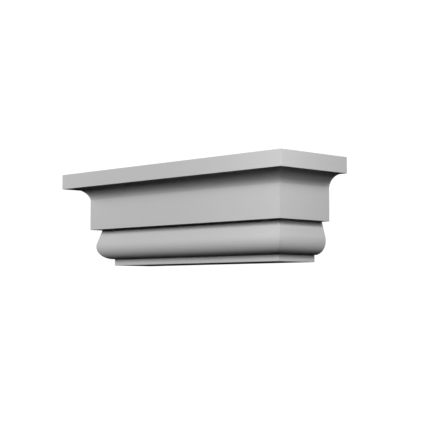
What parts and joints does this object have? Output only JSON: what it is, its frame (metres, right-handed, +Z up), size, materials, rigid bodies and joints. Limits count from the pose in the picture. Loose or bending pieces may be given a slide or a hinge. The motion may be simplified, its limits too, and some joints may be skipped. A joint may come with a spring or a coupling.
{
  "type": "pilaster capital",
  "caption": "Moulded capital for a flat pilaster: abacus, cove, plain fascia, leaning roll and neck fillet, returned to a flat back.",
  "frame": {"origin": "on the underside, below the middle of the abacus", "axes": "+X along the front to the right as the picture shows it, +Y into the wall, +Z up"},
  "size_m": [0.49, 0.14, 0.15],
  "materials": {
    "light_grey_paint": "smooth moulded rigid foam under a flat light grey primer"
  },
  "bodies": {
    "root": {"pilaster_capital": "light_grey_paint"}
  },
  "joints": []
}
